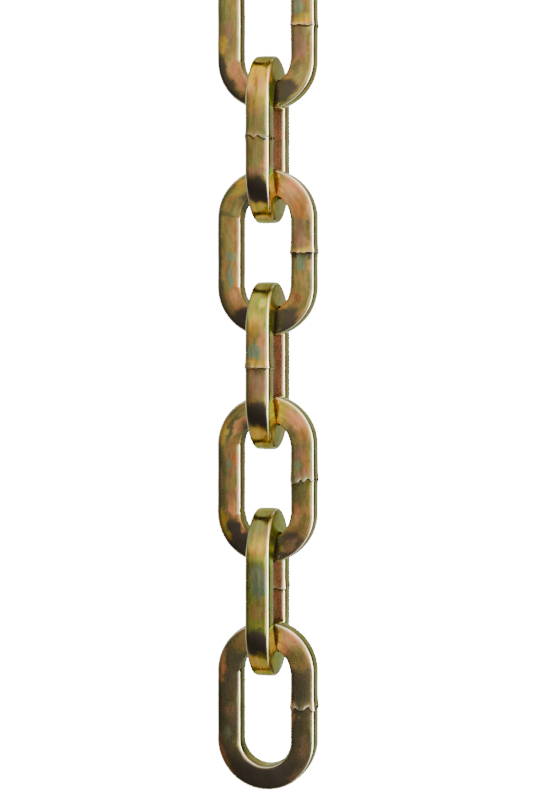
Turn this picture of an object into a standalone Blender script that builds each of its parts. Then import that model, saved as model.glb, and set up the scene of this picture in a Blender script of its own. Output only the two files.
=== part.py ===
"""One metre of square-section steel security chain, laid out straight on a level floor.

Each link is a bar of square section bent into a long ring and butt welded in the middle of one leg.
Every link stands at a quarter turn to the one before it, so a straight length rests with its links
leaning 45 degrees to alternate sides, each on the outer corner of its lower leg.
Metres, +Z up, X along the chain, the floor at z = 0. The free end of the chain is at +X.
"""
import math

import bmesh
import bpy

BAR = 0.008
CORNER_RADIUS = 0.0012
INNER_LENGTH = 0.038
OUTER_WIDTH = 0.032
CHAIN_LENGTH = 1.0
BAR_GAP = 0.0003
FACETS_PER_QUARTER = 5

INNER_RADIUS = OUTER_WIDTH / 2 - BAR
OUTER_RADIUS = OUTER_WIDTH / 2
STRAIGHT_LEG = INNER_LENGTH - 2 * INNER_RADIUS
OUTER_LENGTH = INNER_LENGTH + 2 * BAR

# The bar's rounded corner is cut by a flat that touches the rounding in its middle.
CORNER_CUT = CORNER_RADIUS * (2 - math.sqrt(2))
SEAT_HALF_WIDTH = BAR / 2 - CORNER_CUT

# Two links at a quarter turn bear on each other at the four corners of their seats.
SEAT_REACH = math.sqrt(INNER_RADIUS**2 - SEAT_HALF_WIDTH**2)
LINK_SPACING = STRAIGHT_LEG + 2 * SEAT_REACH - BAR_GAP
LINK_COUNT = round((CHAIN_LENGTH - OUTER_LENGTH) / LINK_SPACING) + 1

LEAN = math.radians(45)
QUARTER_TURN = math.radians(90)
LEG_CENTRE = INNER_RADIUS + BAR / 2
CORNER_REACH = (BAR - CORNER_CUT) / math.sqrt(2)
AXIS_HEIGHT = LEG_CENTRE * math.sin(LEAN) + CORNER_REACH

ZINC_COLOUR = (0.42, 0.33, 0.13, 1.0)
ZINC_ROUGHNESS = 0.28


def clear_scene():
    for thing in list(bpy.data.objects):
        bpy.data.objects.remove(thing, do_unlink=True)


def yellow_zinc_steel():
    """Welded steel with a thin yellow zinc plating."""
    material = bpy.data.materials.new("yellow_zinc_steel")
    material.use_nodes = True
    shader = material.node_tree.nodes["Principled BSDF"]
    shader.inputs["Base Color"].default_value = ZINC_COLOUR
    shader.inputs["Metallic"].default_value = 1.0
    shader.inputs["Roughness"].default_value = ZINC_ROUGHNESS
    return material


def bar_section():
    """The square bar with cut corners: (distance from the crown's centre, height) pairs."""
    half = BAR / 2
    seat = SEAT_HALF_WIDTH
    corners = [
        (half, -seat), (half, seat), (seat, half), (-seat, half),
        (-half, seat), (-half, -seat), (-seat, -half), (seat, -half),
    ]
    return [(LEG_CENTRE + across, height) for across, height in corners]


def crown_stations(centre_x, start_angle):
    """The facets' edges over half a turn of one crown, as (centre_x, angle) pairs."""
    step = QUARTER_TURN / FACETS_PER_QUARTER
    return [
        (centre_x, start_angle + step * (index + 0.5))
        for index in range(2 * FACETS_PER_QUARTER)
    ]


def link_mesh(material):
    """A closed ring of bar in the XY plane, with the near crown's centre at its origin.

    Every facet touches its true arc, so the legs, the seats and the overall sizes are exact.
    """
    far_crown = crown_stations(STRAIGHT_LEG, -QUARTER_TURN)
    near_crown = crown_stations(0.0, QUARTER_TURN)
    edge_stretch = 1 / math.cos(QUARTER_TURN / FACETS_PER_QUARTER / 2)
    section = bar_section()
    mesh_builder = bmesh.new()
    rings = []
    for centre_x, angle in far_crown + near_crown:
        along, across = edge_stretch * math.cos(angle), edge_stretch * math.sin(angle)
        rings.append([
            mesh_builder.verts.new((centre_x + radius * along, radius * across, height))
            for radius, height in section
        ])
    for ring, next_ring in zip(rings, rings[1:] + rings[:1]):
        for index in range(len(section)):
            after = (index + 1) % len(section)
            mesh_builder.faces.new((ring[index], next_ring[index], next_ring[after], ring[after]))
    bmesh.ops.recalc_face_normals(mesh_builder, faces=mesh_builder.faces)
    mesh = bpy.data.meshes.new("chain_link")
    mesh_builder.to_mesh(mesh)
    mesh_builder.free()
    mesh.materials.append(material)
    return mesh


def lay_out_chain(mesh):
    """Hang each link on the one before it, moved on by the spacing and given a quarter turn."""
    chain = bpy.data.objects.new("chain", None)
    bpy.context.collection.objects.link(chain)
    overall = OUTER_LENGTH + (LINK_COUNT - 1) * LINK_SPACING
    chain.location = (OUTER_RADIUS - overall / 2, 0.0, AXIS_HEIGHT)
    chain.rotation_euler = (LEAN, 0.0, 0.0)
    holder = chain
    for number in range(1, LINK_COUNT + 1):
        link = bpy.data.objects.new(f"link_{number:02d}", mesh)
        bpy.context.collection.objects.link(link)
        link.parent = holder
        if holder is not chain:
            link.location = (LINK_SPACING, 0.0, 0.0)
            link.rotation_euler = (QUARTER_TURN, 0.0, 0.0)
        holder = link


clear_scene()
lay_out_chain(link_mesh(yellow_zinc_steel()))
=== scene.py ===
import math

import bpy
import numpy as np
from mathutils import Matrix, Vector, noise


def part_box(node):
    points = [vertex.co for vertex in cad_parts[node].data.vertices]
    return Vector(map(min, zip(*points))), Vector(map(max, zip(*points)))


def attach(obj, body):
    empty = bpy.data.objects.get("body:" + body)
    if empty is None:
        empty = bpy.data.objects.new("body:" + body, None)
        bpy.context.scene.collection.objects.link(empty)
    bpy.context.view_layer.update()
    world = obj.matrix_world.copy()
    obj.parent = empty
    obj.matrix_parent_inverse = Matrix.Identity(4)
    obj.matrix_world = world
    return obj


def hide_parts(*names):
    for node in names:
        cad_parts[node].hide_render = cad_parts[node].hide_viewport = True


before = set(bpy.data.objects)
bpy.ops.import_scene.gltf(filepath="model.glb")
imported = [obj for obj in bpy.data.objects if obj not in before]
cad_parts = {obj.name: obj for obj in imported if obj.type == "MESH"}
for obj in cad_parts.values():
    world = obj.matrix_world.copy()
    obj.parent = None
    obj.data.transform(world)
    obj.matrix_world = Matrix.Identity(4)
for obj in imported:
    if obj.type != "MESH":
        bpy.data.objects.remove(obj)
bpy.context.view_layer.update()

# The camera looks down on the chain, from a little to the right of the odd links' faces, as in the photo.
# Its sensor stays parallel to the chain and the picture's foot is the chain's free end at +X.
# The photo's own camera stood opposite a point a little above the middle of what it shows.
LINK_COUNT = len(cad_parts)
LINK_LEAN = math.radians(45)
BESIDE_THE_FACE = math.radians(13)
CAMERA_DISTANCE = 0.70
PIXELS_PER_METRE = 3112.0
PICTURE_WIDTH_PX, PICTURE_HEIGHT_PX = 533, 800
CHAIN_COLUMN_PX = 267.8
OPPOSITE_ROW_PX = 290.0
OPPOSITE_LINK = 24
OPPOSITE_ABOVE_LINK = 0.0243
SENSOR_WIDTH_MM = 36.0


def link_name(number):
    return f"link_{number:02d}"


def link_centre(number):
    low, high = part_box(link_name(number))
    return (Vector(low) + Vector(high)) / 2


elevation = LINK_LEAN + BESIDE_THE_FACE
towards_camera = Vector((0, -math.cos(elevation), math.sin(elevation)))
picture_up = Vector((-1, 0, 0))
picture_right = picture_up.cross(towards_camera)
camera = bpy.data.objects.new("camera", bpy.data.cameras.new("camera"))
bpy.context.collection.objects.link(camera)
opposite = link_centre(OPPOSITE_LINK) + picture_up * OPPOSITE_ABOVE_LINK
facing = Matrix((picture_right, picture_up, towards_camera)).transposed()
camera.matrix_world = Matrix.Translation(opposite + towards_camera * CAMERA_DISTANCE) @ facing.to_4x4()
camera.data.sensor_width = SENSOR_WIDTH_MM
camera.data.lens = SENSOR_WIDTH_MM * CAMERA_DISTANCE * PIXELS_PER_METRE / PICTURE_HEIGHT_PX
camera.data.shift_x = (PICTURE_WIDTH_PX / 2 - CHAIN_COLUMN_PX) / PICTURE_HEIGHT_PX
camera.data.shift_y = (OPPOSITE_ROW_PX - PICTURE_HEIGHT_PX / 2) / PICTURE_HEIGHT_PX
bpy.context.scene.camera = camera

# The studio is what the plated steel mirrors: a strip of soft boxes over the chain and along it, a fill
# light by the camera, walls, a low pale card and dim ground. The floor is a glowing white sheet, well below
# the chain, which hangs clear of its backdrop in the photo, so that links that swing down still show.
STRIP_TILT = math.radians(30)
STRIP_FROM = Vector((0, math.sin(STRIP_TILT), math.cos(STRIP_TILT)))
ACROSS_STRIP = Vector((0, math.cos(STRIP_TILT), -math.sin(STRIP_TILT)))
STRIP_SPREAD = 0.40
STRIP_MIDDLE, STRIP_HELD_END, STRIP_FREE_END = 8.0, 3.5, 1.4
CAMERA_FILL = 2.4
HELD_END_WALL, FREE_END_WALL = 0.84, 0.38
LOW_WALL_SHARE, HIGH_WALL_GAIN, FAR_WALL_LOSS = 0.36, 0.5, 0.75
HELD_END_GLOW = 0.85
LOW_CARD = 0.50
GROUND_NEAR, GROUND_FAR = 0.40, 0.95
GROUND_BELOW_GAIN = 0.7
SKIRTING_LOSS = 0.7
# Where each of these fades in, from none to full, by a component of the unit direction towards it.
STRIP_MIDDLE_FADE, STRIP_FREE_FADE, STRIP_SIDE_FADE = (-0.5, -0.2), (0.25, 0.7), (-0.08, 0.08)
CAMERA_FILL_FADE = (0.94, 0.975)
FREE_END_FADE, FAR_WALL_FADE = (-0.03, 0.15), (0.1, 0.4)
MIDDLE_WALL_FADE, HIGH_WALL_FADE = (0.36, 0.50), (0.60, 0.75)
HELD_GLOW_FADE, HELD_GLOW_NEAR_FADE = (-0.15, -0.6), (-0.95, -0.80)
CARD_FADE, CARD_TOP_FADE = (0.45, 0.75), (0.12, 0.08)
GROUND_FADE, GROUND_FAR_FADE, GROUND_BELOW_FADE = (-0.36, -0.43), (-0.3, 0.2), (-0.65, -0.80)
SKIRTING_FOOT_FADE, SKIRTING_TOP_FADE = (-0.47, -0.43), (-0.36, -0.40)
FLOOR_SIZE = 60.0
FLOOR_BELOW = 0.8
FLOOR_COLOUR = (0.5, 0.5, 0.5, 1.0)
FLOOR_ROUGHNESS = 0.9
FLOOR_GLOW = 36.0


class Value:
    """One output in a node tree. Sums on it add Math nodes, and numbers alone stay in Python."""

    def __init__(self, socket):
        self.socket = socket

    def node(self, kind, settings=None, inputs=None, output=0):
        return add_node(self.socket.id_data, kind, settings, inputs, output)

    def maths(self, operation, first, second):
        return self.node("ShaderNodeMath", {"operation": operation}, {0: first, 1: second})

    def __add__(self, other):
        return self.maths("ADD", self, other)

    def __sub__(self, other):
        return self.maths("SUBTRACT", self, other)

    def __rsub__(self, other):
        return self.maths("SUBTRACT", other, self)

    def __mul__(self, other):
        return self.maths("MULTIPLY", self, other)

    def __abs__(self):
        return self.maths("ABSOLUTE", self, 0.0)

    def step(self, start, end):
        """0 at start, 1 at end, smooth between and flat beyond. Start may lie above end."""
        return self.node(
            "ShaderNodeMapRange", {"interpolation_type": "SMOOTHSTEP"},
            {"Value": self, "From Min": start, "From Max": end})

    def mixed(self, other, share):
        """This value, or the other where share is 1."""
        return self + (other - self) * share

    def noise(self, scale, detail, roughness):
        return self.node(
            "ShaderNodeTexNoise", {},
            {"Vector": self, "Scale": scale, "Detail": detail, "Roughness": roughness})

    def vector_maths(self, operation, other, output="Vector"):
        return self.node("ShaderNodeVectorMath", {"operation": operation}, {0: self, 1: other}, output)

    def mixed_colour(self, other, share, blend="MIX"):
        """This colour, blended with the other where share is 1."""
        # A Mix node's two colours are its inputs 6 and 7, and the colour that comes out is output 2.
        return self.node(
            "ShaderNodeMix", {"data_type": "RGBA", "blend_type": blend}, {0: share, 6: self, 7: other}, 2)

    __radd__ = __add__
    __rmul__ = __mul__


def add_node(tree, kind, settings=None, inputs=None, output=0):
    """A node of any type: its settings first, then its sockets' values or links."""
    made = tree.nodes.new(kind)
    for name, setting in (settings or {}).items():
        setattr(made, name, setting)
    for name, value in (inputs or {}).items():
        if isinstance(value, Value):
            tree.links.new(value.socket, made.inputs[name])
        else:
            made.inputs[name].default_value = value
    return Value(made.outputs[output])


world = bpy.data.worlds.new("studio")
bpy.context.scene.world = world
world.use_nodes = True
surround = world.node_tree
direction = add_node(surround, "ShaderNodeTexCoord", output="Generated")
along, across, height = [
    direction.node("ShaderNodeSeparateXYZ", {}, {0: direction}, axis) for axis in "XYZ"]
to_strip = direction.vector_maths("DOT_PRODUCT", STRIP_FROM, "Value")
beside_strip = direction.vector_maths("DOT_PRODUCT", ACROSS_STRIP, "Value")
to_camera = direction.vector_maths("DOT_PRODUCT", towards_camera, "Value")
walls = HELD_END_WALL + (FREE_END_WALL - HELD_END_WALL) * along.step(*FREE_END_FADE)
walls = walls * (LOW_WALL_SHARE + (1 - LOW_WALL_SHARE) * height.step(*MIDDLE_WALL_FADE))
walls = walls * (1 + HIGH_WALL_GAIN * height.step(*HIGH_WALL_FADE))
walls = walls * (1 - FAR_WALL_LOSS * across.step(*FAR_WALL_FADE))
walls = walls + HELD_END_GLOW * along.step(*HELD_GLOW_FADE) * across.step(*HELD_GLOW_NEAR_FADE)
walls = walls + LOW_CARD * along.step(*CARD_FADE) * height.step(*CARD_TOP_FADE)
ground = GROUND_NEAR + (GROUND_FAR - GROUND_NEAR) * across.step(*GROUND_FAR_FADE)
ground = ground * (1 + GROUND_BELOW_GAIN * height.step(*GROUND_BELOW_FADE))
skirting = height.step(*SKIRTING_FOOT_FADE) * height.step(*SKIRTING_TOP_FADE)
level = walls.mixed(ground, height.step(*GROUND_FADE)) * (1 - SKIRTING_LOSS * skirting)
level = level.mixed(CAMERA_FILL, to_camera.step(*CAMERA_FILL_FADE))
strip = STRIP_HELD_END + (STRIP_MIDDLE - STRIP_HELD_END) * along.step(*STRIP_MIDDLE_FADE)
strip = strip.mixed(STRIP_FREE_END, along.step(*STRIP_FREE_FADE))
in_strip = (STRIP_SPREAD * to_strip - abs(beside_strip)).step(*STRIP_SIDE_FADE)
level = level.mixed(strip, in_strip)
backdrop = surround.nodes["Background"]
backdrop.inputs["Color"].default_value = (1.0, 1.0, 1.0, 1.0)
surround.links.new(level.socket, backdrop.inputs["Strength"])

bpy.ops.mesh.primitive_plane_add(size=FLOOR_SIZE, location=(0, 0, -FLOOR_BELOW))
floor = bpy.context.object
floor.name = "floor"
floor.visible_glossy = False
paint = bpy.data.materials.new("white_floor")
paint.use_nodes = True
floor_shader = paint.node_tree.nodes["Principled BSDF"]
floor_shader.inputs["Base Color"].default_value = FLOOR_COLOUR
floor_shader.inputs["Roughness"].default_value = FLOOR_ROUGHNESS
floor_shader.inputs["Emission Color"].default_value = FLOOR_COLOUR
floor_shader.inputs["Emission Strength"].default_value = FLOOR_GLOW
floor.data.materials.append(paint)

# Every link is one bar of 8 mm square steel, bent round a former and butt welded in the middle of one leg.
# Bending draws each crown thin outside, squeezes it thick inside and, except at the chain's free end,
# pinches its inner corners sharp. At the weld the bar swells up to a ragged seam.
SHAPE_SEED = 100
NOISE_REACH = 50
BAR = 0.008
CORNER_RADIUS = 0.0012
PINCHED_CORNER_RADIUS = 0.0004
PINCH_RUN = math.sin(math.radians(4))
FLAT_CROWN = 0.00008
CORNER_FOCUS = 4
INNER_LENGTH = 0.038
LINK_WIDTH = 0.032
CROWN_CENTRE = INNER_LENGTH / 2 - (LINK_WIDTH / 2 - BAR)
LEG_CENTRE = LINK_WIDTH / 2 - BAR / 2
HALF_TURN = math.pi * LEG_CENTRE
BAR_RUN = 4 * CROWN_CENTRE + 2 * HALF_TURN
CROWN_THINNED, CROWN_THICKENED = 0.00045, 0.00012
BAR_WAVES = 0.00006
WAVE_LENGTH = 0.006
CORNER_STEPS = 5
FLAT_STEPS = 13
CROWN_STEPS = 46
LEG_STEPS = 18
WELD_REACH = 0.0042
WELD_STEPS = (0.0, 0.02, 0.05, 0.10, 0.16, 0.24, 0.34, 0.46, 0.62, 0.8, 1.0)
SEAM_RISE = 0.00042
SEAM_DROP = 0.00045
SWELLING_SHARE, FOOT_SHARE = 0.4, 0.25
SWELLING_REACH, LIP_REACH, FOOT_REACH = 0.0022, 0.0007, 0.0013
SEAM_UNEVENNESS = 0.15
SEAM_TEETH = 34
TOOTH_LENGTH = 0.0009
SMALLEST_TOOTH = 0.3
NEAT_SEAM_RAGGEDNESS = 0.3
RAGGED_SEAMS = (1, 4, 9, 13, 18, 22, 25, 27)
FAR_LEG_WELDS = (2, 5, 11, 16, 26)


def bar_section(inner_corner):
    """The rounded square, counter-clockwise from the outer flat: (across, height, outward angle) rows."""
    corners = (CORNER_RADIUS, inner_corner, inner_corner, CORNER_RADIUS)
    rows = []
    for turn, corner in enumerate(corners):
        angle = turn * math.pi / 2
        start, end = corners[turn - 1] - BAR / 2, BAR / 2 - corner
        rounding = corner - FLAT_CROWN
        side = []
        for index in range(FLAT_STEPS):
            share = index / FLAT_STEPS
            side.append((BAR / 2 - FLAT_CROWN * (2 * share - 1)**2, start + (end - start) * share, 0.0))
        for index in range(CORNER_STEPS):
            bend = math.pi / 2 * index / CORNER_STEPS
            side.append((end + rounding * math.cos(bend), end + rounding * math.sin(bend), bend))
        for out, beside, bend in side:
            rows.append((
                out * math.cos(angle) - beside * math.sin(angle),
                out * math.sin(angle) + beside * math.cos(angle),
                angle + bend))
    return np.array(rows)


def bar_stations():
    """Steps round the link from its seam: (x, y, outward angle, travel, offset from the seam) rows."""
    leg = [WELD_REACH * share for share in WELD_STEPS]
    leg += [WELD_REACH + (CROWN_CENTRE - WELD_REACH) * index / LEG_STEPS for index in range(1, LEG_STEPS)]
    rows = [(x, LEG_CENTRE, math.pi / 2, x, x) for x in leg]
    for index in range(CROWN_STEPS + 1):
        share = index / CROWN_STEPS
        angle = math.pi / 2 - math.pi * share
        rows.append((
            CROWN_CENTRE + LEG_CENTRE * math.cos(angle), LEG_CENTRE * math.sin(angle), angle,
            CROWN_CENTRE + HALF_TURN * share, None))
    for index in range(1, 2 * LEG_STEPS):
        x = CROWN_CENTRE * (1 - index / LEG_STEPS)
        rows.append((x, -LEG_CENTRE, -math.pi / 2, 2 * CROWN_CENTRE + HALF_TURN - x, None))
    for index in range(CROWN_STEPS + 1):
        share = index / CROWN_STEPS
        angle = -math.pi / 2 - math.pi * share
        rows.append((
            -CROWN_CENTRE + LEG_CENTRE * math.cos(angle), LEG_CENTRE * math.sin(angle), angle,
            3 * CROWN_CENTRE + HALF_TURN * (1 + share), None))
    rows += [(-x, LEG_CENTRE, math.pi / 2, BAR_RUN - x, -x) for x in reversed(leg[1:])]
    return rows


def wandering(rng, knots, count):
    """Random values from -1 to 1 round a closed loop, seldom near 0, joined by straight runs."""
    heights = rng.choice((-1, 1), knots) * rng.uniform(SMALLEST_TOOTH, 1, knots)
    share = np.arange(count) / count * knots
    low = np.floor(share).astype(int) % knots
    part = share - np.floor(share)
    return heights[low] * (1 - part) + heights[(low + 1) % knots] * part


def seam_height(offset, x):
    """The bar swells up to the leg's middle, x = 0, and drops within half a millimetre of the ragged seam."""
    lip = (1 - SWELLING_SHARE) * math.exp(min(x, 0.0) / LIP_REACH)
    crest = SWELLING_SHARE * math.exp(-(x / SWELLING_REACH)**2) + lip
    foot = FOOT_SHARE * math.exp(-(x / FOOT_REACH)**2)
    dropped = min(1.0, max(0.0, offset) / SEAM_DROP)
    return SEAM_RISE * (crest + (foot - crest) * dropped)


def noise_place(rng):
    return Vector(rng.uniform(-NOISE_REACH, NOISE_REACH, 3))


def link_axes(number):
    """Across the link and out of its face: odd links face the camera, even ones stand edge on to it."""
    lean = LINK_LEAN if number % 2 else -LINK_LEAN
    return Vector((0, math.cos(lean), math.sin(lean))), Vector((0, -math.sin(lean), math.cos(lean)))


def link_mesh(number):
    """The bent and welded bar at its place in the chain, as one closed mesh of quads.

    Its "bar" field is every face corner's place along, across and out of the straight bar, counted from
    a random start. With the mesh come its points' own places on the bar, their offsets from the seam
    and how far each is on a rounded corner.
    """
    rng = np.random.default_rng(SHAPE_SEED + number)
    centre = link_centre(number)
    width_axis, face_axis = link_axes(number)
    welded_side = 1 if number % 2 else -1
    if number in FAR_LEG_WELDS:
        welded_side = -welded_side
    leg_section, pinched_section = bar_section(CORNER_RADIUS), bar_section(PINCHED_CORNER_RADIUS)
    stations = bar_stations()
    raggedness = 1.0 if number in RAGGED_SEAMS else NEAT_SEAM_RAGGEDNESS
    teeth = wandering(rng, SEAM_TEETH, len(leg_section)) * TOOTH_LENGTH * raggedness
    seam_share = 1 - SEAM_UNEVENNESS * (1 - wandering(rng, SEAM_TEETH, len(leg_section)))
    wave_place = noise_place(rng)
    places, on_bar, past_seam, on_corner = [], [], [], []
    for x, y, angle, travel, offset in stations:
        crown = abs(math.cos(angle))
        pinched = 0.0 if number == LINK_COUNT and x > 0 else min(1.0, crown / PINCH_RUN)
        section = leg_section + (pinched_section - leg_section) * pinched
        for index, (across_bar, height_on_bar, outward) in enumerate(section):
            outer_share = (across_bar + BAR / 2) / BAR
            squeeze = CROWN_THICKENED * (1 - outer_share) - CROWN_THINNED * outer_share
            link_x = x + math.cos(angle) * across_bar
            wave = noise.noise(wave_place + Vector((link_x, y, height_on_bar + across_bar)) / WAVE_LENGTH)
            proud = (wave - 1) * BAR_WAVES
            if offset is not None:
                link_x += teeth[index] * (1 - abs(offset) / CROWN_CENTRE)
                proud += seam_height(offset, link_x) * seam_share[index]
            out = proud * math.cos(outward)
            up = height_on_bar * (1 + squeeze * crown / (BAR / 2)) + proud * math.sin(outward)
            link_x += math.cos(angle) * out
            link_y = y + math.sin(angle) * (across_bar + out)
            place = centre + Vector((link_x, 0, 0)) + (width_axis * link_y + face_axis * up) * welded_side
            place.z = max(place.z, 0.0)
            places.append(place)
            on_bar.append((travel, across_bar, height_on_bar))
            past_seam.append(CROWN_CENTRE if offset is None else offset)
            sheltered = pinched if across_bar < 0 else 0.0
            on_corner.append(math.sin(2 * outward)**CORNER_FOCUS * (1 - sheltered))
    rings, around = len(stations), len(leg_section)
    faces = []
    for ring in range(rings):
        after = (ring + 1) % rings
        for index in range(around):
            beside = (index + 1) % around
            faces.append((
                ring * around + index, ring * around + beside,
                after * around + beside, after * around + index))
    mesh = bpy.data.meshes.new(link_name(number) + "_plated")
    mesh.from_pydata(places, [], faces)
    mesh.shade_smooth()
    on_bar = np.array(on_bar)
    on_face_corners = on_bar[np.array(faces)]
    # The last faces close the ring, so they end at the bar's far end and not at its start.
    on_face_corners[-around:, 2:, 0] = BAR_RUN
    add_field(mesh, "bar", "CORNER", on_face_corners + rng.uniform(0, 1, 3))
    return mesh, on_bar, np.array(past_seam), np.array(on_corner)


def add_field(mesh, name, domain, values):
    """A value or a vector for each of the mesh's points or corners, which its material reads."""
    values = np.asarray(values, dtype=np.float32)
    is_vector = values.ndim > 1
    field = mesh.attributes.new(name, "FLOAT_VECTOR" if is_vector else "FLOAT", domain)
    field.data.foreach_set("vector" if is_vector else "value", values.ravel())


# The plating is zinc with a bright yellow chromate film, put on in a tumbling drum. The film is so thin
# that its thickness shows as colour, in patches with soft fringes, and in places it is brown. The brown
# painted on the lower crowns and inside the upper crowns where the next link lies is partly brown film and
# partly painted shade standing in for dark reflections; the brown just below each seam's drop is painted
# shade.
# The tumbling rubs it pale on the bar's corners and the seam's crest, and leaves it dull inside the link.
PATCH_SEED = 500
OLIVE = (0.32, 0.27, 0.080)
TAN = (0.42, 0.275, 0.078)
GOLD = (0.70, 0.44, 0.060)
AMBER = (0.84, 0.47, 0.03)
LEMON = (0.92, 0.76, 0.08)
# Lime, used only on the even links' walls where odd links cross: partly film colour, partly a painted bright
# reflection.
LIME_AND_SHEEN = (0.55, 0.72, 0.10)
GREEN = (0.38, 0.38, 0.055)
TEAL = (0.28, 0.34, 0.18)
COPPER = (0.55, 0.22, 0.055)
SALMON = (0.80, 0.34, 0.13)
RUSSET = (0.45, 0.25, 0.14)
MAUVE = (0.40, 0.215, 0.11)
BROWN = (0.095, 0.072, 0.050)
RUBBED = (0.92, 0.88, 0.56)
CORNER_WEAR, SEAM_WEAR, BRIGHT_SEAM_WEAR = 0.85, 0.35, 1.0
BRIGHT_SEAMS = (3, 8, 14, 20, 25, 27)
CREST_REACH = 0.0004
# Painted shade: brown painted just below each seam's drop, where its ledge would shade the bar.
SEAM_SHADE_REACH, SEAM_SHADE_BROWNNESS, SEAM_SHADE_SHARE = 0.0006, 0.8, 0.7
INNER_DULLNESS, CORNER_GLOSS = 0.12, 0.06
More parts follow.
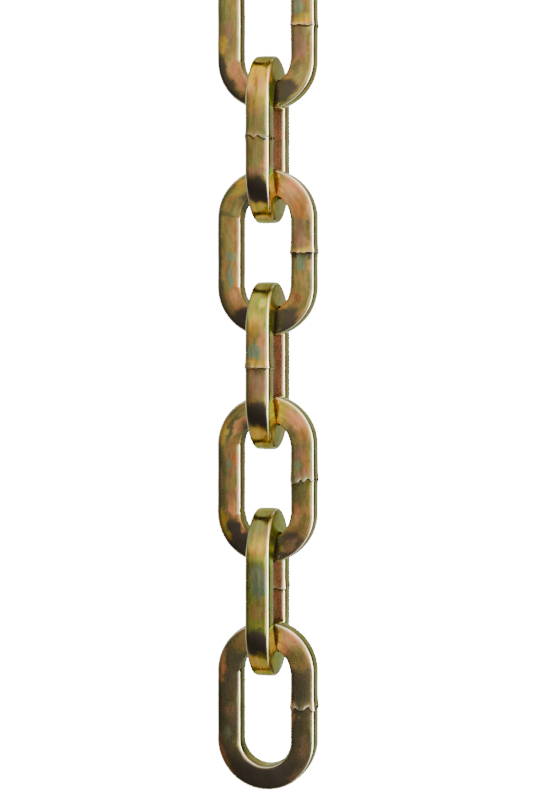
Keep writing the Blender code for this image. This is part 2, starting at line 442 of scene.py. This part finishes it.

# The film on the links that the photo shows, with painted shade and reflection among its patches. First come
# the whole link's colour and brownness, then its patches, each over the ones before: colour, brownness, the
# hour on a clock face laid on the link with the weld at 3 and the free end at 6, the middle across and out of
# the bar, half length and half width, in mm.
# Painted shade and reflection among these: the brown patches, and others of brownness 0.8 or more, between
# 4.5 and 7.6 o'clock on the lower crowns are partly brown film and partly painted dark reflection. On the
# even links the gold and olive bands just below them are partly film and partly painted reflection bands. The
# brown at 11.2 o'clock on the inner flat of links 23 and 25 is painted shade where the next link lies in the
# crown. The two small brown patches at 3.12 o'clock on link 23 are painted shade under the seam. The lime
# patches on the even links' walls where the odd links cross are partly film colour and partly painted bright
# reflection.
PATCHES = {
    21: [
        (TAN, 0.1),
        (OLIVE, 0.0, 9.2, 2.4, 4, 14, 2.2), (MAUVE, 0.0, 8.8, -0.5, 4, 5, 1.2),
        (GOLD, 0.0, 8.4, 2.2, 4, 3, 1.6), (SALMON, 0.05, 7.3, -1.6, 4, 7, 2.3),
        (OLIVE, 0.9, 7.4, 3.0, 4, 8, 2.2), (MAUVE, 0.3, 6.6, -2, 4, 3, 1.5),
        (BROWN, 0.85, 6.3, 0.5, 4, 4, 3.4), (TEAL, 0.0, 2.4, -1.4, 4, 3, 1.4),
        (GOLD, 0.0, 2.8, 1, 4, 1.5, 3), (AMBER, 0.0, 2.89, 1.2, 4, 0.7, 3.0),
        (MAUVE, 0.0, 3.6, -1, 4, 5.4, 2.8), (TAN, 0.5, 3.6, 2.3, 4, 7, 0.9),
        (TAN, 0.6, 4.4, -1.5, 4, 3, 1.2), (TAN, 0.0, 4.5, 2.0, 4, 4, 2.0),
        (BROWN, 0.9, 5.4, -0.6, 4, 5, 3.6), (TAN, 0.2, 5.1, 3.5, 4, 6, 0.9),
    ],
    22: [
        (TAN, 0.1),
        (GOLD, 0.0, 1.3, 4, 0, 7, 6), (AMBER, 0.0, 1.2, 4, 0.5, 5, 3.6),
        (LEMON, 0.0, 0.85, 4, -2.2, 2, 1.2), (SALMON, 0.0, 1.5, 4, -1, 3, 0.7),
        (COPPER, 0.0, 1.6, 4, 0.8, 5, 0.6), (SALMON, 0.0, 1.7, 4, 2.4, 3, 0.8),
        (OLIVE, 0.0, 0.3, 4, 0, 4, 6), (OLIVE, 0.0, 2.6, 4, 0, 3, 6), (TEAL, 0.0, 3.0, 4, -2.5, 1, 1.2),
        (OLIVE, 0.0, 3.6, 4, 0.6, 4, 2.2), (SALMON, 0.0, 3.6, 4, -2.9, 5, 1.2),
        (MAUVE, 0.2, 4.1, 4, 0, 1.2, 4), (BROWN, 1.0, 4.58, 4, -0.3, 3.4, 4.6),
        (GOLD, 0.0, 5.12, 4, 0, 2.6, 7), (OLIVE, 0.0, 5.8, 4, 0, 3.4, 7),
        (LIME_AND_SHEEN, 0.0, 1.64, 0, -4, 4.4, 3.4), (LIME_AND_SHEEN, 0.0, 4.36, 0, -4, 4.4, 3.4),
        (RUSSET, 0.0, 9, -4, 0, 14, 5), (RUSSET, 0.0, 3, -4, 0, 14, 5),
    ],
    23: [
        (TAN, 0.12),
        (OLIVE, 0.2, 3.0, 4, 0, 15, 3.2), (OLIVE, 0.1, 10.9, 0, 4, 9, 5), (GOLD, 0.0, 11.2, 1, 4, 3, 2),
        (COPPER, 0.1, 10.6, 0.5, 4, 3, 0.9), (OLIVE, 0.6, 10.2, 1, 4, 1.2, 3.5),
        (BROWN, 0.9, 11.2, -4, 0, 8, 4.6), (GOLD, 0.0, 0.1, 0, 4, 3, 4), (SALMON, 0.0, 0.85, 0, 4, 5, 4.5),
        (COPPER, 0.0, 1.6, 0.5, 4, 4, 3), (SALMON, 0.0, 1.9, 2.6, 4, 4, 1), (MAUVE, 0.05, 2.4, -1, 4, 5, 2),
        (TAN, 0.6, 2.3, 2.3, 4, 4, 1.3), (GOLD, 0.0, 2.9, 0, 4, 1, 5), (BROWN, 0.85, 3.12, -2.3, 4, 1.2, 1),
        (BROWN, 0.85, 3.12, 2.4, 4, 1.3, 1.2), (TEAL, 0.0, 3.35, 0, 4, 3, 1.4),
        (TAN, 0.1, 4.0, -1, 4, 3.5, 2), (OLIVE, 0.5, 3.9, 2.8, 4, 5, 1),
        (COPPER, 0.6, 4.5, -0.5, 4, 2.2, 1.6), (BROWN, 0.9, 5.5, 0, 4, 6, 4),
        (COPPER, 0.0, 4.9, -3.5, 4, 4, 0.8), (TAN, 0.0, 9.6, 0, 4, 5, 2.4),
        (OLIVE, 0.6, 9.0, 3.5, 4, 13, 1.3), (COPPER, 0.4, 9.2, -3, 4, 9, 0.8),
        (TEAL, 0.0, 8.85, -0.5, 4, 1.9, 1.4), (TEAL, 0.0, 8.2, -0.6, 4, 3, 1.4),
        (COPPER, 0.0, 8.0, -3.2, 4, 2.5, 1.2), (SALMON, 0.05, 7.35, -1.4, 4, 4, 2),
        (OLIVE, 0.65, 7.6, 3, 4, 7, 1.7), (BROWN, 0.9, 6.6, 0.5, 4, 5, 3.8),
    ],
    24: [
        (TAN, 0.1),
        (GREEN, 0.0, 1.3, 4, 0, 6, 6), (GOLD, 0.0, 1.7, 4, 0.5, 3, 2.4),
        (LEMON, 0.0, 1.15, 4, -1.8, 1.6, 1.3), (SALMON, 0.0, 2.2, 4, -1.8, 5, 1.2),
        (TEAL, 0.0, 2.5, 4, 1.0, 2, 2.4), (GOLD, 0.0, 2.85, 4, 0, 1.2, 5), (MAUVE, 0.0, 3.5, 4, 0, 4, 4),
        (OLIVE, 0.3, 3.5, 4, 3.2, 6, 1.2), (BROWN, 0.95, 4.5, 4, -0.3, 4, 4.6),
        (GOLD, 0.0, 5.05, 4, 0, 3.0, 7), (OLIVE, 0.0, 5.8, 4, 0, 3.6, 7), (OLIVE, 0.0, 0.3, 4, 0, 4, 6),
        (LIME_AND_SHEEN, 0.0, 1.64, 0, -4, 4.4, 3.4), (LIME_AND_SHEEN, 0.0, 4.36, 0, -4, 4.4, 3.4),
        (RUSSET, 0.2, 9, -4, 0, 14, 5), (RUSSET, 0.15, 3, -4, 0, 14, 5),
    ],
    25: [
        (TAN, 0.25),
        (OLIVE, 0.3, 3.0, 4, 0, 15, 3.2), (GOLD, 0.0, 10.45, 2.4, 4, 4.5, 1.8),
        (OLIVE, 0.0, 11.3, 1.5, 4, 4, 2.5), (SALMON, 0.0, 11.0, -1.4, 4, 6, 1.5),
        (OLIVE, 0.6, 10.6, 0.6, 4, 5, 0.8), (OLIVE, 0.55, 9.0, 2.3, 4, 12, 2.1),
        (MAUVE, 0.0, 9.0, -1.6, 4, 9.5, 1.9), (TEAL, 0.0, 9.5, -0.4, 4, 1.7, 1.1),
        (COPPER, 0.1, 9.65, -2.3, 4, 2, 0.9), (TAN, 0.0, 8.9, -1.4, 4, 4, 1.2),
        (SALMON, 0.0, 8.1, -1.5, 4, 3.5, 1.5), (BROWN, 0.8, 6.9, 0, 4, 8, 4),
        (GOLD, 0.0, 7.6, 2.4, 4, 4.5, 1.4), (SALMON, 0.0, 7.4, -3.4, 4, 4, 0.9),
        (GOLD, 0.0, 0.5, 0, 4, 4, 4), (SALMON, 0.0, 1.05, 1, 4, 3.5, 2.2),
        (COPPER, 0.0, 1.6, 1.8, 4, 3.5, 1.6), (OLIVE, 0.55, 1.4, -2.2, 4, 3, 1.5),
        (OLIVE, 0.1, 2.3, 0, 4, 5.5, 4), (MAUVE, 0.0, 2.05, -1, 4, 3, 1.3),
        (TEAL, 0.0, 2.47, -1.2, 4, 1.5, 1.2), (OLIVE, 0.5, 2.2, 3.2, 4, 6, 1),
        (MAUVE, 0.0, 2.8, -0.5, 4, 1.3, 3), (OLIVE, 0.4, 3.45, 0, 4, 4, 4),
        (GREEN, 0.0, 3.2, 2.4, 4, 1, 0.9), (COPPER, 0.1, 2.35, 1.2, 4, 4, 1.0),
        (COPPER, 0.0, 9.7, -3.0, 4, 2.4, 0.7), (SALMON, 0.0, 4.05, -1.5, 4, 3, 1.4),
        (TAN, 0.1, 3.9, 1.7, 4, 5, 1.3), (BROWN, 0.75, 5.4, 0, 4, 7, 4), (MAUVE, 0.3, 5.2, 1, 4, 3, 1.5),
        (BROWN, 0.9, 11.2, -4, 0, 8, 4.6),
    ],
    26: [
        (GREEN, 0.1),
        (OLIVE, 0.0, 11.0, 4, 0, 5, 6), (GOLD, 0.1, 10.5, 4, 0.5, 3, 3), (OLIVE, 0.0, 9.9, 4, -1.5, 3, 2),
        (TEAL, 0.05, 9.5, 4, 1, 5, 3), (GREEN, 0.5, 9.4, 4, -3.4, 9, 1.3), (TAN, 0.3, 8.6, 4, 1, 3.5, 3),
        (BROWN, 0.95, 7.6, 4, 0, 4, 4.6), (GOLD, 0.0, 7.02, 4, 0, 3.3, 7), (OLIVE, 0.0, 6.2, 4, 0, 3.6, 7),
        (OLIVE, 0.0, 11.7, 4, 0, 4, 6), (LIME_AND_SHEEN, 0.0, 7.64, 0, 4, 4.4, 3.4),
        (LIME_AND_SHEEN, 0.0, 10.36, 0, 4, 4.4, 3.4), (RUSSET, 0.15, 3, -4, 0, 14, 5),
        (RUSSET, 0.15, 9, -4, 0, 14, 5),
    ],
    27: [
        (OLIVE, 0.76),
        (SALMON, 0.15, 10.25, 2.8, 4, 5, 1.4), (TAN, 0.45, 11.2, 0, 4, 4, 4),
        (TEAL, 0.5, 8.15, 0.5, 4, 2, 1.2), (MAUVE, 0.5, 8.9, -0.5, 4, 3, 1.5),
        (SALMON, 0.2, 7.5, 2.8, 4, 6, 1.2), (SALMON, 0.28, 0.7, 0, 4, 4.5, 4), (TAN, 0.4, 1.4, 0, 4, 4, 4),
        (SALMON, 0.1, 3.1, -3.7, 4, 9, 0.9), (TAN, 0.1, 3.2, -0.5, 4, 0.5, 0.4),
        (MAUVE, 0.5, 4.2, 0.8, 4, 4, 1.4), (BROWN, 0.85, 6, 0, 4, 12, 4), (MAUVE, 0.5, 5.0, 2.5, 4, 3, 1.5),
        (OLIVE, 0.1, 8, -4, 0, 26, 3.5), (OLIVE, 0.15, 3, 4, 0, 26, 3.4),
    ],
}
MILLIMETRES = 1000
HOURS_ROUND, WELD_HOUR = 12, 3
FRINGE = 0.10
DRIFTS = ((0.0034, 0.0012), (0.0011, 0.0006))
DRIFT_NOISE_SEED = 2

# Patches of the same kind, drawn for flats that the photo doesn't show, in ranges of the same measures.
OUTER_FLAT, INNER_FLAT, FRONT_FLAT, BACK_FLAT = (4, 0), (-4, 0), (0, 4), (0, -4)
FLATS = (OUTER_FLAT, INNER_FLAT, FRONT_FLAT, BACK_FLAT)
DRAWN_PATCHES = 26
DRAWN_COLOURS = (OLIVE, OLIVE, GOLD, TAN, TAN, COPPER, SALMON, MAUVE, TEAL, GREEN)
DRAWN_BROWNNESS_ROOT, DRAWN_BESIDE = (0, 0.85), (-3, 3)
DRAWN_HALF_LENGTH, DRAWN_HALF_WIDTH = (1.5, 7), (1.0, 3.5)
WHOLE_LINK_COLOURS, WHOLE_LINK_BROWNNESS = (TAN, OLIVE, GOLD), (0.05, 0.3)
# Unseen links get brown round the free-end crown: partly brown film, partly painted shade standing in for the
# dark reflection there.
FREE_CROWN_BROWNNESS, FREE_CROWN_HOUR, FREE_CROWN_HALF_LENGTH, FREE_CROWN_HALF_WIDTH = (0.5, 0.9), (5.3, 6.7), (4, 9), 7


def drawn_patches(rng, flats):
    patches = []
    for _ in range(DRAWN_PATCHES * len(flats) // len(FLATS)):
        across_bar, out = flats[rng.integers(len(flats))]
        beside = rng.uniform(*DRAWN_BESIDE)
        patches.append((
            DRAWN_COLOURS[rng.integers(len(DRAWN_COLOURS))], rng.uniform(*DRAWN_BROWNNESS_ROOT)**2,
            rng.uniform(0, HOURS_ROUND), across_bar or beside, out or beside,
            rng.uniform(*DRAWN_HALF_LENGTH), rng.uniform(*DRAWN_HALF_WIDTH)))
    return patches


def link_patches(number, rng):
    """A shown link's patches, with drawn ones on its far face. An unseen link's are all drawn."""
    if number in PATCHES:
        far_face = FRONT_FLAT if number % 2 == 0 and number not in FAR_LEG_WELDS else BACK_FLAT
        return PATCHES[number] + drawn_patches(rng, (far_face,))
    whole_colour = WHOLE_LINK_COLOURS[rng.integers(len(WHOLE_LINK_COLOURS))]
    whole = (whole_colour, rng.uniform(*WHOLE_LINK_BROWNNESS))
    # Brown round the free-end crown, partly film and partly painted shade.
    dark_free_crown = (
        BROWN, rng.uniform(*FREE_CROWN_BROWNNESS), rng.uniform(*FREE_CROWN_HOUR), 0, 0,
        rng.uniform(*FREE_CROWN_HALF_LENGTH), FREE_CROWN_HALF_WIDTH)
    return [whole] + drawn_patches(rng, FLATS) + [dark_free_crown]


def spread(patches, on_bar, past_seam, on_corner, seam_wear, drift_place):
    """Colour and brownness at every point: patches with soft fringes, rubbed corners and seam crest, and
    painted shade just below the seam.
    """
    drifted = on_bar.copy()
    for length, reach in DRIFTS:
        drift = [noise.noise_vector(Vector(place) / length + drift_place) for place in on_bar]
        drifted += reach * np.array(drift)
    travel, across_bar, out = (drifted * MILLIMETRES).T
    once_round = BAR_RUN * MILLIMETRES
    tint = np.tile(patches[0][0], (len(on_bar), 1))
    brown = np.full(len(on_bar), patches[0][1])
    for colour, brown_here, hour, middle_across, middle_out, half_length, half_width in patches[1:]:
        ahead = travel - (hour - WELD_HOUR) / HOURS_ROUND * once_round
        ahead = (ahead + once_round / 2) % once_round - once_round / 2
        away = np.sqrt(
            (ahead / half_length)**2 + ((across_bar - middle_across) / half_width)**2
            + ((out - middle_out) / half_width)**2)
        share = 0.5 - 0.5 * np.tanh((away - 1) / (2 * FRINGE))
        tint += (np.array(colour) - tint) * share[:, None]
        brown += (brown_here - brown) * share
    crest = np.where(past_seam <= 0, np.exp(np.minimum(past_seam, 0) / CREST_REACH), 0.0)
    # Painted shade: brownness painted just below the seam, under its drop.
    seam_shade = np.where(past_seam > 0, np.exp(-past_seam / SEAM_SHADE_REACH), 0.0)
    rubbed = np.maximum(CORNER_WEAR * on_corner, seam_wear * crest)
    tint += (np.array(RUBBED) - tint) * rubbed[:, None]
    brown += (SEAM_SHADE_BROWNNESS - brown) * seam_shade * SEAM_SHADE_SHARE
    brown -= brown * rubbed
    return tint, brown


# The film's fine detail: clouds of warmer and cooler hue, blotches drawn out along the bar, dark specks
# where it is brown, and the metal's grain. The brownness darkens the colour towards brown, both for brown
# film and for the painted shade and reflection laid in it. A noise's scale is its features to the metre.
WARMER, COOLER = (1.12, 0.96, 0.96, 1.0), (0.90, 1.04, 0.94, 1.0)
GRAZING_TINT = (0.48, 0.56, 0.36, 1.0)
BLOTCH_STRETCH = (0.3, 1.0, 1.0)
HUE_FADE, SHADE_FADE = (0.38, 0.62), (0.30, 0.70)
DARKEST_SHADE, SHADE_RANGE = 0.78, 0.44
SPECK_FADE, SPECKS_BY_BROWNNESS, SPECK_DEPTH = (0.58, 0.68), (-0.2, 0.6), 0.6
DARKENING_FADE, DARKENING_RAGGEDNESS, DARKENING_DEPTH = (0.15, 0.95), 0.3, 0.93
POLISHED, CLOUD_DULLNESS, DARKENING_DULLNESS = 0.10, 0.16, 0.12
GRAIN_RELIEF, BLOTCH_RELIEF = 0.15, 1.4
RELIEF_DEPTH, RELIEF_STRENGTH = 0.00006, 0.3
COAT_WEIGHT, COAT_ROUGHNESS = 0.1, 0.08


def yellow_zinc():
    plating = bpy.data.materials.new("yellow_zinc")
    plating.use_nodes = True
    tree = plating.node_tree
    shader = tree.nodes["Principled BSDF"]
    bar = add_node(tree, "ShaderNodeAttribute", {"attribute_name": "bar"}, output="Vector")
    tint = add_node(tree, "ShaderNodeAttribute", {"attribute_name": "tint"}, output="Vector")
    brown = add_node(tree, "ShaderNodeAttribute", {"attribute_name": "brown"}, output="Fac")
    dull = add_node(tree, "ShaderNodeAttribute", {"attribute_name": "dull"}, output="Fac")
    drawn_out = bar.vector_maths("MULTIPLY", BLOTCH_STRETCH)
    clouds = bar.noise(scale=260.0, detail=3.0, roughness=0.55)
    blotches = drawn_out.noise(scale=620.0, detail=3.0, roughness=0.6)
    specks = bar.noise(scale=1500.0, detail=2.0, roughness=0.5)
    grain = bar.noise(scale=3200.0, detail=2.0, roughness=0.6)
    hue = clouds.step(*HUE_FADE)
    colour = tint.mixed_colour(COOLER, 1 - hue, "MULTIPLY").mixed_colour(WARMER, hue, "MULTIPLY")
    shade = DARKEST_SHADE + SHADE_RANGE * blotches.step(*SHADE_FADE)
    colour = colour.node("ShaderNodeVectorMath", {"operation": "SCALE"}, {0: colour, "Scale": shade})
    # Darkening by brownness: brown film, and the painted shade and dark reflection that the brownness
    # carries.
    darkening = (brown + DARKENING_RAGGEDNESS * (blotches + specks - 1)).step(*DARKENING_FADE)
    speckled = specks.step(*SPECK_FADE) * brown.step(*SPECKS_BY_BROWNNESS)
    darkened = colour.mixed_colour((*BROWN, 1.0), DARKENING_DEPTH * darkening)
    darkened = darkened.mixed_colour((*BROWN, 1.0), SPECK_DEPTH * speckled)
    dullness = POLISHED + CLOUD_DULLNESS * clouds + DARKENING_DULLNESS * darkening + dull
    relief = GRAIN_RELIEF * grain + BLOTCH_RELIEF * blotches
    bump = relief.node(
        "ShaderNodeBump", {}, {"Height": relief, "Strength": RELIEF_STRENGTH, "Distance": RELIEF_DEPTH})
    tree.links.new(darkened.socket, shader.inputs["Base Color"])
    tree.links.new(dullness.socket, shader.inputs["Roughness"])
    tree.links.new(bump.socket, shader.inputs["Normal"])
    shader.inputs["Metallic"].default_value = 1.0
    shader.inputs["Specular Tint"].default_value = GRAZING_TINT
    shader.inputs["Coat Weight"].default_value = COAT_WEIGHT
    shader.inputs["Coat Roughness"].default_value = COAT_ROUGHNESS
    return plating


# Each finished link stands for the plain one of its name and swings with it.
plating = yellow_zinc()
# Noise vectors differ from run to run until they are seeded.
noise.seed_set(DRIFT_NOISE_SEED)
for number in range(1, LINK_COUNT + 1):
    rng = np.random.default_rng(PATCH_SEED + number)
    mesh, on_bar, past_seam, on_corner = link_mesh(number)
    drift_place = noise_place(rng)
    seam_wear = BRIGHT_SEAM_WEAR if number in BRIGHT_SEAMS else SEAM_WEAR
    tint, brown = spread(link_patches(number, rng), on_bar, past_seam, on_corner, seam_wear, drift_place)
    inner_flat = on_bar[:, 1] < FLAT_CROWN - BAR / 2
    add_field(mesh, "tint", "POINT", tint)
    add_field(mesh, "brown", "POINT", brown)
    add_field(mesh, "dull", "POINT", INNER_DULLNESS * inner_flat - CORNER_GLOSS * on_corner)
    mesh.materials.append(plating)
    piece = bpy.data.objects.new(link_name(number) + "_plated", mesh)
    bpy.context.collection.objects.link(piece)
    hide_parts(link_name(number))
    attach(piece, link_name(number))
